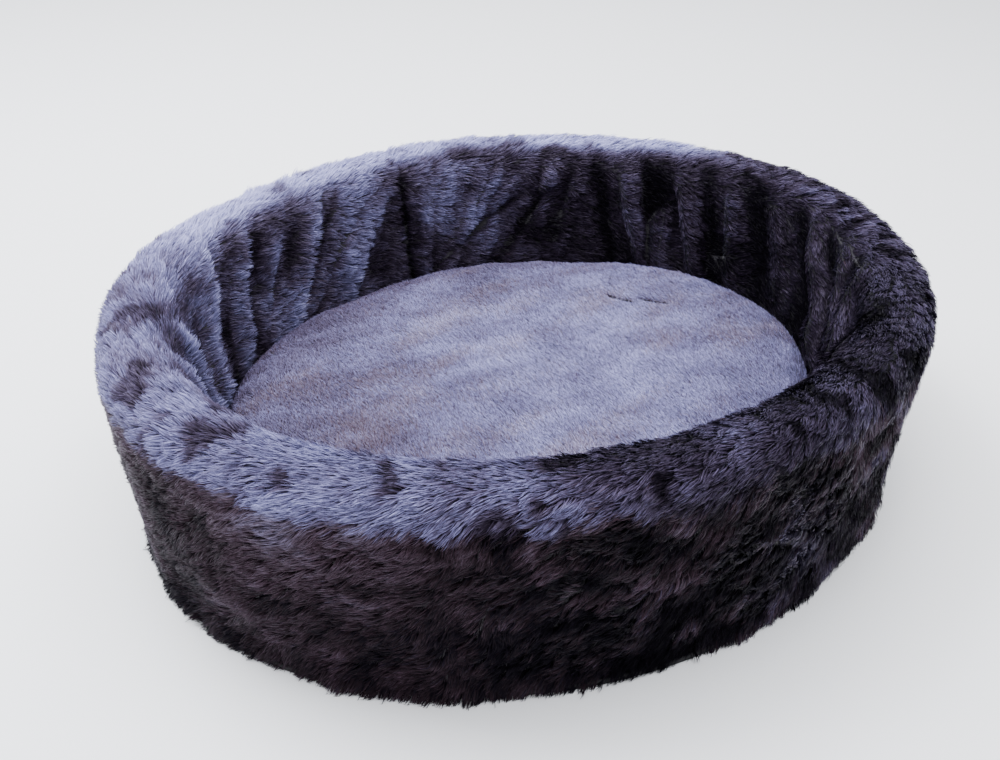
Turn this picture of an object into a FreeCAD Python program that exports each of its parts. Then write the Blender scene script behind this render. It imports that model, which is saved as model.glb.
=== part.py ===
import FreeCAD, Part
import math
import os

# Oval pet cushion bed: a soft upright wall round a removable, zipped cushion.
# Millimetres, +Z up, +X along the bed's long axis, origin on the floor under its centre.
# Every ring-like piece is drawn once as an (inset, height) profile, where the inset is the
# distance inward from the bed's outermost oval, and is swept round the oval's four arcs.

V = FreeCAD.Vector

# ---- the oval -------------------------------------------------------------------------------
LENGTH = 620.0            # overall, along X
WIDTH = 506.0             # overall, along Y
HEIGHT = 177.0            # floor to the crown of the wall
END_RADIUS = 225.0        # radius of the oval's two end arcs; the side arcs follow from it

# ---- the wall -------------------------------------------------------------------------------
FUR = 9.0                 # backing plus pile of the fur cover
WALL_THICK = 61.0         # wall over the fur, at the shoulder
SHOULDER_OUT = 32.0       # how far under the crown the outer face starts to turn in
SHOULDER_IN = 30.0        # the same on the inner face
CROWN_HALF_FLAT = 4.0     # the crown's level strip, half its width
CROWN_BULGE = (8.2, 9.5)  # inset and drop of the point the crown's round shoulders pass through
BULGE_SHRINK = 0.72       # how far that point moves each way, per millimetre the outline shrinks
FOOT_INSET = 13.0         # the outer face leans in by this much at the floor
FOOT_INNER = 75.0         # inset of the inner face at the floor: it leans out going up
FOAM_JOINT = 2.0          # gap where the foam strip's two ends meet
FOAM_JOINT_AT = 124.0     # where that joint sits, degrees round from +X

# ---- the floor ------------------------------------------------------------------------------
PANEL_THICK = 1.5         # woven bottom panel
PAD_THICK = 8.0           # wadding sheet in the floor
LINING_THICK = 1.0        # fabric under the cushion
BINDING_HIGH = 5.0        # binding tape folded round the bottom seam
BINDING_THICK = 1.6

# ---- the cushion ----------------------------------------------------------------------------
CUSHION_GAP = 0.4         # clear height over the lining
CUSHION_EDGE = 73.5       # inset of the cushion's widest line
CUSHION_TOP_EDGE = 83.0   # height where the top has turned level
CUSHION_CROWN = 90.0      # height at its middle
CUSHION_SEAM = 33.0       # height of the seam between fur top and plain underside
TOP_FUR = 7.0             # fur on the cushion
CLOTH = 1.2               # plain cloth of the underside
BAG = 1.0                 # inner bag that holds the fibre fill

# ---- the zip, in a fold across the cushion's underside --------------------------------------
ZIP_LENGTH = 340.0
FOLD_HALF_WIDTH = 17.0
FOLD_DEPTH = 15.0
MOUTH = 6.5               # half the gap between the cloth's folded edges, at the teeth
TAPE_EDGE = 2.4           # the tape's inner edge, off the centre line
TAPE_WIDTH = 13.0
TAPE_THICK = 0.6
TOOTH_PITCH = 4.0         # along one row; the two rows interleave
TOOTH_LENGTH = 2.3
TOOTH_REACH = 1.5         # past the centre line, into the other row
TOOTH_ROOT = 3.2
TOOTH_HIGH = 2.2
PLATE_HALF_LENGTH = 6.0   # slider plates
PLATE_HALF_WIDTH = 5.2
PLATE_THICK = 1.2
RUN_GAP = 0.4             # slider to teeth and tape
PULL_LENGTH = 20.0
PULL_WIDTH = 6.0
PULL_THICK = 1.4
PULL_DROOP = 28.0         # the pull hangs in the fold by this angle, degrees
PIN_RADIUS = 0.7          # the slider's bridge, where the pull turns
PIN_CLEAR = 0.08

SEMI_X, SEMI_Y = LENGTH / 2, WIDTH / 2
END_CENTRE = SEMI_X - END_RADIUS
SIDE_RADIUS = ((END_CENTRE ** 2 + SEMI_Y ** 2 - END_RADIUS ** 2) / (2 * (SEMI_Y - END_RADIUS)))
SIDE_CENTRE = SIDE_RADIUS - SEMI_Y
SPLIT = math.degrees(math.atan2(SIDE_CENTRE, END_CENTRE))   # where end and side arcs meet

# centre x, centre y, outer radius, first and last angle
ARCS = [
    (END_CENTRE, 0.0, END_RADIUS, -SPLIT, SPLIT),
    (0.0, -SIDE_CENTRE, SIDE_RADIUS, SPLIT, 180.0 - SPLIT),
    (-END_CENTRE, 0.0, END_RADIUS, 180.0 - SPLIT, 180.0 + SPLIT),
    (0.0, SIDE_CENTRE, SIDE_RADIUS, 180.0 + SPLIT, 360.0 - SPLIT),
]


def profile(radius, steps):
    """Face from (inset, height) steps on an arc of that outer radius.

    A pair runs straight, and ('arc', mid, end) bends; the last step is the first point again.
    """
    def at(point):
        return V(radius - point[0], 0, point[1])

    here = steps[0]
    edges = []
    for step in steps[1:]:
        start = at(here)
        if step[0] == "arc":
            here = step[2]
            edges.append(Part.Arc(start, at(step[1]), at(here)).toShape())
        else:
            here = step
            edges.append(Part.LineSegment(start, at(here)).toShape())
    return Part.Face(Part.Wire(edges))


def sweep(section):
    """section(radius) turned round each of the oval's four arcs, and fused to one ring."""
    pieces = []
    for cx, cy, radius, first, last in ARCS:
        face = section(radius)
        face.rotate(V(0, 0, 0), V(0, 0, 1), first)
        face.translate(V(cx, cy, 0))
        pieces.append(face.revolve(V(cx, cy, 0), V(0, 0, 1), last - first))
    return pieces[0].fuse(pieces[1:]).removeSplitter()


def oval_plate(inset, low, high):
    """A flat oval slab, its edge that far inside the bed's outermost oval."""
    edges = []
    for cx, cy, radius, first, last in ARCS:
        r = radius - inset
        points = []
        for angle in (first, (first + last) / 2, last):
            t = math.radians(angle)
            points.append(V(cx + r * math.cos(t), cy + r * math.sin(t), low))
        edges.append(Part.Arc(*points).toShape())
    return Part.Face(Part.Wire(edges)).extrude(V(0, 0, high - low))


def box(x0, x1, y0, y1, z0, z1):
    return Part.makeBox(x1 - x0, y1 - y0, z1 - z0, V(x0, y0, z0))


# ---- the wall and the floor -----------------------------------------------------------------
PAD_TOP = PANEL_THICK + PAD_THICK
LINING_TOP = PAD_TOP + LINING_THICK
CROWN_AT = WALL_THICK / 2          # inset of the crown's highest line


def wall_outline(radius, shrink, foot):
    """Wall section, shrunk all round by that much and standing on height foot."""
    out_foot, in_foot = FOOT_INSET + shrink, FOOT_INNER - shrink
    top = HEIGHT - shrink
    inset, drop = [value + shrink * BULGE_SHRINK for value in CROWN_BULGE]
    out_top = (shrink, HEIGHT - SHOULDER_OUT)
    in_top = (WALL_THICK - shrink, HEIGHT - SHOULDER_IN)
    return profile(radius, [
        (out_foot, foot), out_top,
        ("arc", (inset, HEIGHT - drop), (CROWN_AT - CROWN_HALF_FLAT, top)),
        (CROWN_AT + CROWN_HALF_FLAT, top),
        ("arc", (WALL_THICK - inset, HEIGHT - drop), in_top),
        (in_foot, foot), (out_foot, foot),
    ])


def sleeve_section(radius):
    """The fur sleeve: the wall's outline less its foam and less the edges of the floor."""
    pad_edge, lining_edge, well_inside = FOOT_INSET + FUR, FOOT_INNER - FUR, FOOT_INNER + 5.0
    floor_edge = profile(radius, [
        (pad_edge, PANEL_THICK), (pad_edge, PAD_TOP), (lining_edge, PAD_TOP),
        (lining_edge, LINING_TOP), (well_inside, LINING_TOP), (well_inside, PANEL_THICK),
        (pad_edge, PANEL_THICK),
    ])
    whole = wall_outline(radius, 0.0, PANEL_THICK)
    return whole.cut(wall_outline(radius, FUR, PAD_TOP)).cut(floor_edge).Faces[0]


def wall_pieces():
    """Foam strip bent to a ring, and the fur sleeve folded over it."""
    foam = sweep(lambda radius: wall_outline(radius, FUR, PAD_TOP))
    # the two ends of the strip butt together at the back
    slot = box(0, LENGTH, -FOAM_JOINT / 2, FOAM_JOINT / 2, 0, HEIGHT)
    slot.rotate(V(0, 0, 0), V(0, 0, 1), FOAM_JOINT_AT)
    return foam.cut(slot), sweep(sleeve_section)


def floor_pieces():
    """Bottom panel, wadding sheet, lining, and the binding on the bottom seam."""
    panel = oval_plate(FOOT_INSET + BINDING_THICK, 0.0, PANEL_THICK)
    pad = oval_plate(FOOT_INSET + FUR, PANEL_THICK, PAD_TOP)
    lining = oval_plate(FOOT_INNER - FUR, PAD_TOP, LINING_TOP)
    # the binding hugs the seam: a strip up the outer face with a lip under the panel's edge
    outer, inner = FOOT_INSET - BINDING_THICK, FOOT_INSET + BINDING_THICK
    lean = 0.6                     # the fur's face leans out by this much at the binding's top
    binding = sweep(lambda radius: profile(radius, [
        (outer, 0.0), (outer, BINDING_HIGH), (FOOT_INSET - lean, BINDING_HIGH),
        (FOOT_INSET, PANEL_THICK), (inner, PANEL_THICK), (inner, 0.0), (outer, 0.0),
    ]))
    return panel, pad, lining, binding


# ---- the cushion ----------------------------------------------------------------------------
CUSHION_FOOT = LINING_TOP + CUSHION_GAP
LEVEL_FROM = 128.0        # inset inside which the cushion's top is level


def pillow(shrink_fur, shrink_foot):
    """A flat pillow: rounded edge ring round a level middle, shrunk on its fur and its foot."""
    edge = CUSHION_EDGE + shrink_fur
    foot, shoulder = CUSHION_FOOT + shrink_foot, CUSHION_TOP_EDGE - shrink_fur
    crown = CUSHION_CROWN - shrink_fur
    foot_round = (13.0, 17.0)      # the foot's corner, across and up
    top_round = (20.0, 22.0)       # the top's corner, across and down
    ring = sweep(lambda radius: profile(radius, [
        (LEVEL_FROM, foot), (edge + foot_round[0], foot),
        ("arc", (edge + foot_round[0] * 0.3, foot + foot_round[1] * 0.306),
         (edge, foot + foot_round[1])),
        (edge, shoulder - top_round[1]),
        ("arc", (edge + top_round[0] * 0.26, shoulder - top_round[1] * 0.282),
         (edge + top_round[0], shoulder)),
        ("arc", (edge + top_round[0] + 14.0, shoulder + 5.2), (LEVEL_FROM, crown)),
        (LEVEL_FROM, foot),
    ]))
    return ring.fuse(oval_plate(LEVEL_FROM, foot, crown)).removeSplitter()


FOLD_ROOF = CUSHION_FOOT + FOLD_DEPTH          # outer face of the cloth in the fold
TAPE_LOW = FOLD_ROOF + CLOTH
TAPE_HIGH = TAPE_LOW + TAPE_THICK
FOLD_END = ZIP_LENGTH / 2 + 8.0


def fold_room(grow):
    """The fold's hollow, grown outward by that much."""
    w, e = FOLD_HALF_WIDTH + grow, FOLD_END + grow
    return box(-e, e, -w, w, CUSHION_FOOT - 5.0, FOLD_ROOF + grow)


def zip_room(grow):
    """Room over the fold for the tapes, the teeth and the slider's upper plate."""
    w, e = TAPE_EDGE + TAPE_WIDTH + 0.6 + grow, FOLD_END + grow
    top = TAPE_HIGH + TOOTH_HIGH / 2 + RUN_GAP + PLATE_THICK + 1.0 + grow
    return box(-e, e, -w, w, CUSHION_FOOT, top)


def cushion_pieces():
    """Fur top, two cloth halves, inner bag and fibre fill, nested like the real thing."""
    outer = pillow(0.0, 0.0).cut(fold_room(0.0))
    inside = pillow(TOP_FUR, CLOTH).cut(fold_room(CLOTH))
    fill = pillow(TOP_FUR + BAG, CLOTH + BAG)
    fill = fill.cut([fold_room(CLOTH + BAG), zip_room(BAG)])
    bag = inside.cut([zip_room(0.0), fill])
    shell = outer.cut(inside)
    fur_top = shell.common(box(-LENGTH, LENGTH, -WIDTH, WIDTH, CUSHION_SEAM, HEIGHT))
    # the cloth's two halves stop short of the teeth, on either side of the zip
    mouth = box(-ZIP_LENGTH / 2 - 2.0, ZIP_LENGTH / 2 + 2.0, -MOUTH, MOUTH,
                CUSHION_FOOT, TAPE_LOW)
    shell = shell.cut(mouth)
    front = shell.common(box(-LENGTH, LENGTH, -WIDTH, 0.0, 0.0, CUSHION_SEAM))
    rear = shell.common(box(-LENGTH, LENGTH, 0.0, WIDTH, 0.0, CUSHION_SEAM))
    return fur_top, front, rear, bag, fill


# ---- the zip --------------------------------------------------------------------------------
TOOTH_MID = (TAPE_LOW + TAPE_HIGH) / 2
TOOTH_END = ZIP_LENGTH / 2 - 8.0               # the rows run from -TOOTH_END to TOOTH_END
STOP_X = ZIP_LENGTH / 2 - 1.0                  # inner face of the top stops
SLIDER_X = STOP_X - 0.5 - PLATE_HALF_LENGTH    # closed: its nose is up to the top stops
PLATE_IN = TOOTH_HIGH / 2 + RUN_GAP            # slider plates, from the tape's middle plane
PLATE_OUT = PLATE_IN + PLATE_THICK
PIN_Z = TOOTH_MID - PLATE_OUT - 1.9


def tape(side):
    """One woven tape, its inner edge a little off the centre line."""
    y0, y1 = sorted((side * TAPE_EDGE, side * (TAPE_EDGE + TAPE_WIDTH)))
    return box(-ZIP_LENGTH / 2, ZIP_LENGTH / 2, y0, y1, TAPE_LOW, TAPE_HIGH)


def tooth_row(side):
    """Moulded teeth along one tape: a waisted block each, clipped over the tape's edge."""
    half, waist, head = TOOTH_LENGTH / 2, 0.55, TOOTH_LENGTH / 4
    outline = [(-half, TOOTH_ROOT), (-waist, 1.0), (-half * 0.9, -0.3), (-head, -TOOTH_REACH),
               (head, -TOOTH_REACH), (half * 0.9, -0.3), (waist, 1.0), (half, TOOTH_ROOT)]
    strip = tape(side)
    teeth = []
    for i in range(int(2 * TOOTH_END / TOOTH_PITCH)):
        # the two rows are half a pitch apart, so that they interleave
        x = -TOOTH_END + (i + 0.5 + 0.25 * side) * TOOTH_PITCH
        points = [V(x + px, side * py, TOOTH_MID - TOOTH_HIGH / 2) for px, py in outline]
        tooth = Part.Face(Part.makePolygon(points + [points[0]])).extrude(V(0, 0, TOOTH_HIGH))
        teeth.append(tooth.cut(strip))
    return Part.makeCompound(teeth)


def stops():
    """A top stop beside the closed end of each row, and one bottom stop across both."""
    tapes = [tape(-1), tape(1)]
    tall, wide = 1.2, 3.4
    top = []
    for side in (-1, 1):
        y0, y1 = sorted((side * 0.4, side * wide))
        block = box(STOP_X, STOP_X + 0.8, y0, y1, TOOTH_MID - tall, TOOTH_MID + tall)
        top.append(block.cut(tapes))
    bottom = box(-STOP_X + 0.6, -STOP_X + 4.2, -wide, wide, TOOTH_MID - tall, TOOTH_MID + tall)
    return Part.makeCompound(top), bottom.cut(tapes)


def slider_plate(side):
    """One plate over (+1) or under (-1) the teeth, with flanges down to the tape."""
    x, w = SLIDER_X, PLATE_HALF_WIDTH
    first, last = x - PLATE_HALF_LENGTH, x + PLATE_HALF_LENGTH
    z0, z1 = sorted((TOOTH_MID + side * PLATE_IN, TOOTH_MID + side * PLATE_OUT))
    f0, f1 = sorted((TOOTH_MID + side * (TAPE_THICK / 2 + RUN_GAP), TOOTH_MID + side * PLATE_IN))
    flanges = [box(first, last, -w, -w + PLATE_THICK, f0, f1),
               box(first, last, w - PLATE_THICK, w, f0, f1)]
    return box(first, last, -w, w, z0, z1).fuse(flanges)


def slider():
    """Upper plate, and lower plate with the bridge: two posts and the pin the pull turns on."""
    x, post_in, post_out = SLIDER_X, PULL_WIDTH / 2 - 1.0, PULL_WIDTH / 2 + 0.2
    bridge = [Part.makeCylinder(PIN_RADIUS, 2 * post_out - 0.6, V(x, 0.3 - post_out, PIN_Z),
                                V(0, 1, 0))]
    for y in (-post_out, post_in):
        bridge.append(box(x - 1.0, x + 1.0, y, y + post_out - post_in,
                          PIN_Z - 0.9, TOOTH_MID - PLATE_OUT))
    lower = slider_plate(-1).fuse(bridge).removeSplitter()
    return Part.makeCompound([lower, slider_plate(1).removeSplitter()])


def pull():
    """The pull: an eye on the bridge pin and a flat tab, hanging in the fold."""
    x, eye = SLIDER_X, PULL_WIDTH / 2 - 1.3
    low, high = PIN_Z - PULL_THICK / 2, PIN_Z + PULL_THICK / 2
    knuckle = Part.makeCylinder(1.5, 2 * eye, V(x, -eye, PIN_Z), V(0, 1, 0))
    neck = box(x - 6.0, x, -eye, eye, low, high)
    tab = box(x - PULL_LENGTH, x - 4.5, -PULL_WIDTH / 2, PULL_WIDTH / 2, low, high)
    corners = [e for e in tab.Edges if abs(e.BoundBox.ZLength - PULL_THICK) < 0.01]
    tab = tab.makeFillet(1.6, corners)
    grip_hole = Part.makeCylinder(1.3, 10.0, V(x - PULL_LENGTH + 4.2, 0, PIN_Z - 5.0))
    bore = Part.makeCylinder(PIN_RADIUS + PIN_CLEAR, 20.0, V(x, -10.0, PIN_Z), V(0, 1, 0))
    shape = knuckle.fuse([neck, tab]).cut([grip_hole, bore]).removeSplitter()
    shape.rotate(V(x, 0, PIN_Z), V(0, 1, 0), -PULL_DROOP)
    return shape


def care_label():
    """Blank satin tag sewn into the zip fold, near the bottom stop."""
    x = -ZIP_LENGTH / 2 + 20.0
    return box(x, x + 22.0, 9.0, 9.4, CUSHION_FOOT + 2.0, FOLD_ROOF)


def export(name, shape):
    solids = shape.Solids
    for solid in solids:
        if not solid.isValid() or solid.Volume < 0.01:
            raise SystemExit(name + ": bad solid")
    out = solids[0] if len(solids) == 1 else Part.makeCompound(solids)
    out.exportStep("parts/%s.step" % name)
    b = out.BoundBox
    print("%-22s %2d solids %10.1f mm3  x %.1f..%.1f y %.1f..%.1f z %.2f..%.2f" % (
        name, len(solids), out.Volume, b.XMin, b.XMax, b.YMin, b.YMax, b.ZMin, b.ZMax))


def main():
    os.makedirs("parts", exist_ok=True)
    foam, fur = wall_pieces()
    panel, pad, lining, binding = floor_pieces()
    fur_top, front, rear, bag, fill = cushion_pieces()
    top_stops, bottom_stop = stops()
    export("wall_foam", foam)
    export("fur_wall_cover", fur)
    export("bottom_panel", panel)
    export("floor_wadding", pad)
    export("floor_lining", lining)
    export("bottom_binding", binding)
    export("cushion_fur_top", fur_top)
    export("cushion_underside_front", front)
    export("cushion_underside_rear", rear)
    export("cushion_inner_bag", bag)
    export("cushion_fibre_fill", fill)
    export("zip_tape_front", tape(-1))
    export("zip_tape_rear", tape(1))
    export("zip_teeth_front", tooth_row(-1))
    export("zip_teeth_rear", tooth_row(1))
    export("zip_top_stops", top_stops)
    export("zip_bottom_stop", bottom_stop)
    export("zip_slider", slider())
    export("zip_pull", pull())
    export("care_label", care_label())


main()
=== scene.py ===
import bpy
import math
import numpy as np
from types import SimpleNamespace
from mathutils import Matrix, Vector
from mathutils.bvhtree import BVHTree


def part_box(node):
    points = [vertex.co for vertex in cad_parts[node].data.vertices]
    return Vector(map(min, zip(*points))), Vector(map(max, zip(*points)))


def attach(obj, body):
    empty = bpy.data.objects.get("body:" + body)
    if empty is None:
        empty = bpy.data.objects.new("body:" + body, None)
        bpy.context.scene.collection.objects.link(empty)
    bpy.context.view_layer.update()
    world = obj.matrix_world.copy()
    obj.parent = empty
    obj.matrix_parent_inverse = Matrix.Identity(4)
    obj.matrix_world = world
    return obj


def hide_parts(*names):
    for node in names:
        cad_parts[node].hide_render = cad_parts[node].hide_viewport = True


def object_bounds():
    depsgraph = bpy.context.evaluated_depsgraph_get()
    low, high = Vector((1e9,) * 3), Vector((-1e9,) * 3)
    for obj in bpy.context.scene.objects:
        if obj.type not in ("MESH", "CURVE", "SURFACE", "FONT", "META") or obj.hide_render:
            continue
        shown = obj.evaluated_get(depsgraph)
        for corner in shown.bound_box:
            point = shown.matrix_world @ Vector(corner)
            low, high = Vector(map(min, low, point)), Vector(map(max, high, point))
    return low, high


# Oval plush pet bed. The CAD gives the pieces' outer sizes and places; this script adds the
# gathered fur cover, the simulated cushion, the pile, the woven cloths, the lights and the
# camera, with their own sections, folds and tones below.
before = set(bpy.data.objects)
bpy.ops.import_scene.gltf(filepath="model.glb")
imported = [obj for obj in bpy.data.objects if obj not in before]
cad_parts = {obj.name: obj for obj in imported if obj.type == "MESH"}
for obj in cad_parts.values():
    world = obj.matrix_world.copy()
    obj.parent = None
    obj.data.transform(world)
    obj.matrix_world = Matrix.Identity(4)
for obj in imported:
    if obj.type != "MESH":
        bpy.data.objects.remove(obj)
CAD_LOW, CAD_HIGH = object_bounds()
CAD_LOW, CAD_HIGH = list(CAD_LOW), list(CAD_HIGH)


# ---- sizes taken from the frame, and the oval ---------------------------
WALL_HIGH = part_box("fur_wall_cover")[1]
SEMI_X, SEMI_Y = WALL_HIGH[0], WALL_HIGH[1]
CUSHION_LOW, CUSHION_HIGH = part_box("cushion_fur_top")
CUSHION_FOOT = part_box("cushion_underside_front")[0][2]
CUSHION_SEAM = CUSHION_LOW[2]
CUSHION_INSET = SEMI_X - CUSHION_HIGH[0]
END_RADIUS = 0.225                     # the oval's end arcs; the side arcs follow
END_CENTRE = SEMI_X - END_RADIUS
SIDE_RADIUS = (END_CENTRE ** 2 + SEMI_Y ** 2 - END_RADIUS ** 2) / (2 * (SEMI_Y - END_RADIUS))
SIDE_CENTRE = SIDE_RADIUS - SEMI_Y
SPLIT = math.atan2(SIDE_CENTRE, END_CENTRE)

SEAM_AT = math.radians(98.7)           # where the fur panel's ends meet, at the back left


# ---- small numeric helpers --------------------------------
def lattice(cell, seed):
    """A repeatable number from 0 to 1 for each integer cell, an (N, 3) array."""
    c = cell.astype(np.int64)
    h = (c[:, 0] * 73856093) ^ (c[:, 1] * 19349663) ^ (c[:, 2] * 83492791) ^ (seed * 2654435)
    h = (h & 0x7FFFFFFF) * 1274126177
    h = (h ^ (h >> 15)) & 0x7FFFFFFF
    h = (h * 1597334677) ^ (h >> 7)
    return ((h >> 4) & 0xFFFFFF) / float(0xFFFFFF)


def noise(points, size, seed):
    """Smooth noise from -1 to 1 with features about that many metres across."""
    q = points / size
    base = np.floor(q)
    f = q - base
    f = f * f * (3 - 2 * f)
    total = np.zeros(len(points))
    for dx in (0, 1):
        for dy in (0, 1):
            for dz in (0, 1):
                w = ((f[:, 0] if dx else 1 - f[:, 0]) * (f[:, 1] if dy else 1 - f[:, 1])
                     * (f[:, 2] if dz else 1 - f[:, 2]))
                total += w * lattice(base + (dx, dy, dz), seed)
    return total * 2 - 1


def locks(points, size, seed):
    """Nearest of the scattered lock centres: its place and a number from 0 to 1 that is its own."""
    base = np.floor(points / size)
    best = np.full(len(points), 1e9)
    centre = np.zeros_like(points)
    own = np.zeros(len(points))
    for dx in (-1, 0, 1):
        for dy in (-1, 0, 1):
            for dz in (-1, 0, 1):
                cell = base + (dx, dy, dz)
                jitter = np.stack([lattice(cell, seed + k) for k in (1, 2, 3)], 1)
                place = (cell + jitter) * size
                gap = ((place - points) ** 2).sum(1)
                near = gap < best
                best[near] = gap[near]
                centre[near] = place[near]
                own[near] = lattice(cell[near], seed + 4)
    return centre, own


def unit(v):
    """The rows of v, each scaled to length 1."""
    return v / np.maximum(np.linalg.norm(v, axis=1, keepdims=True), 1e-12)


def smoothstep(a, b, x):
    """0 up to a and 1 from b on, with an eased rise between; a above b makes it fall."""
    t = np.clip((x - a) / (b - a), 0, 1)
    return t * t * (3 - 2 * t)


def from_x_axis(angle):
    """How far each angle lies from the X axis, whichever end of it is nearer."""
    return np.abs(np.mod(angle + math.pi / 2, math.pi) - math.pi / 2)


def oval(angle):
    """Outermost oval at each normal angle: its points and outward normals, both (N, 2)."""
    angle = np.mod(angle, 2 * math.pi)
    n = np.stack([np.cos(angle), np.sin(angle)], 1)
    at_end = from_x_axis(angle) <= SPLIT
    centre = np.where(at_end[:, None],
                      np.stack([np.sign(n[:, 0]) * END_CENTRE, np.zeros(len(n))], 1),
                      np.stack([np.zeros(len(n)), -np.sign(n[:, 1]) * SIDE_CENTRE], 1))
    radius = np.where(at_end, END_RADIUS, SIDE_RADIUS)
    return centre + n * radius[:, None], n


def local_radius(angle, inset):
    """The oval's radius of curvature at that inset, for each normal angle."""
    return np.where(from_x_axis(angle) <= SPLIT, END_RADIUS, SIDE_RADIUS) - inset


def even_angles(count, inset):
    """Normal angles spaced evenly by length round the oval at that inset."""
    fine = np.linspace(0, 2 * math.pi, 14401)
    p, n = oval(fine)
    p = p - n * inset
    step = np.r_[0, np.cumsum(np.linalg.norm(np.diff(p, axis=0), axis=1))]
    return np.interp(np.arange(count) / count * step[-1], step, fine)


def inset_and_angle(xy):
    """For points inside the oval: how far in from the outermost oval, and the normal angle."""
    x, y = xy[:, 0], xy[:, 1]
    end = np.arctan2(y, np.abs(x) - END_CENTRE)
    use_end = (np.abs(x) > END_CENTRE) & (np.abs(end) <= SPLIT)
    r_end = np.hypot(np.abs(x) - END_CENTRE, y)
    side_y = np.abs(y) + SIDE_CENTRE
    r_side = np.hypot(x, side_y)
    inset = np.where(use_end, END_RADIUS - r_end, SIDE_RADIUS - r_side)
    angle = np.where(use_end, np.arctan2(y, (np.abs(x) - END_CENTRE) * np.sign(x)),
                     np.arctan2(side_y * np.sign(y), x))
    return inset, angle


def swept(angles, inset, height):
    """Points round the oval at (A,) angles, for (B,) or (A, B) insets and heights: (A, B, 3)."""
    edge, outward = oval(angles)
    inset, height = (np.broadcast_to(v, (len(angles), v.shape[-1])) for v in (inset, height))
    flat = edge[:, None, :] - outward[:, None, :] * inset[..., None]
    return np.concatenate([flat, height[..., None]], 2)


def angle_gap(a, b):
    """Signed difference of two angles, from -pi to pi."""
    return np.mod(a - b + math.pi, 2 * math.pi) - math.pi


def curve_through(points, count):
    """A smooth open line through (a, b) points, resampled evenly by length."""
    p = np.array(points, float)
    p = np.vstack([2 * p[0] - p[1], p, 2 * p[-1] - p[-2]])
    out = []
    for i in range(1, len(p) - 2):
        for t in np.linspace(0, 1, 24, endpoint=False):
            a, b, c, d = p[i - 1:i + 3]
            out.append(0.5 * (2 * b + (c - a) * t + (2 * a - 5 * b + 4 * c - d) * t ** 2
                              + (3 * b - a - 3 * c + d) * t ** 3))
    out.append(p[-2])
    out = np.array(out)
    step = np.r_[0, np.cumsum(np.linalg.norm(np.diff(out, axis=0), axis=1))]
    at = np.linspace(0, step[-1], count)
    return np.stack([np.interp(at, step, out[:, k]) for k in (0, 1)], 1)


# ---- mesh helpers -----------------------------------------
def placed(name, data):
    """A new object of that data, in the scene."""
    obj = bpy.data.objects.new(name, data)
    bpy.context.scene.collection.objects.link(obj)
    return obj


def mesh_object(name, verts, faces):
    """A smooth object from (N, 3) points and an (M, 3) or (M, 4) array of corners."""
    mesh = bpy.data.meshes.new(name)
    faces = np.asarray(faces, np.int32)
    corners = faces.shape[1]
    mesh.vertices.add(len(verts))
    mesh.vertices.foreach_set("co", np.asarray(verts, np.float32).ravel())
    mesh.loops.add(faces.size)
    mesh.loops.foreach_set("vertex_index", faces.ravel())
    mesh.polygons.add(len(faces))
    mesh.polygons.foreach_set("loop_start", np.arange(len(faces), dtype=np.int32) * corners)
    mesh.polygons.foreach_set("loop_total", np.full(len(faces), corners, np.int32))
    mesh.polygons.foreach_set("use_smooth", np.ones(len(faces), bool))
    mesh.update(calc_edges=True)
    return placed(name, mesh)


def grid_quads(a, b):
    """A closed ring of a rows of b points as quads: their corners, and each one's row and place."""
    i, j = np.meshgrid(np.arange(a), np.arange(b - 1), indexing="ij")
    nxt = (i + 1) % a
    faces = np.stack([i * b + j, nxt * b + j, nxt * b + j + 1, i * b + j + 1], -1)
    return faces.reshape(-1, 4), i, j


def grid_object(name, points):
    """A quad grid from (A, B, 3) points, its last row joined to the first.

    It carries its own UV map, named so that the exporter's bake uses it.
    """
    a, b = points.shape[:2]
    faces, i, j = grid_quads(a, b)
    obj = mesh_object(name, points.reshape(-1, 3), faces)
    corners = ((0, 0), (1, 0), (1, 1), (0, 1))
    uv = np.stack([np.stack([i + di, j + dj], -1) for di, dj in corners], 2).reshape(-1, 2)
    uv = uv / (a, b - 1) * 0.996 + 0.002
    layer = obj.data.uv_layers.new(name="OFBake")
    layer.data.foreach_set("uv", uv.astype(np.float32).ravel())
    return obj


def points_of(mesh):
    """A mesh's own points, (N, 3)."""
    co = np.empty(len(mesh.vertices) * 3, np.float32)
    mesh.vertices.foreach_get("co", co)
    return co.reshape(-1, 3)


def move_points(mesh, points):
    """Puts a mesh's points where the (N, 3) array says."""
    mesh.vertices.foreach_set("co", points.astype(np.float32).ravel())
    mesh.update()


def read_mesh(obj):
    """Evaluated points, vertex normals and triangles of an object, as arrays."""
    dg = bpy.context.evaluated_depsgraph_get()
    mesh = obj.evaluated_get(dg).to_mesh()
    mesh.calc_loop_triangles()
    co = points_of(mesh)
    no = np.empty(len(mesh.vertices) * 3, np.float32)
    mesh.vertices.foreach_get("normal", no)
    tri = np.empty(len(mesh.loop_triangles) * 3, np.int32)
    mesh.loop_triangles.foreach_get("vertices", tri)
    obj.evaluated_get(dg).to_mesh_clear()
    return co.astype(float), no.reshape(-1, 3).astype(float), tri.reshape(-1, 3)


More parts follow.
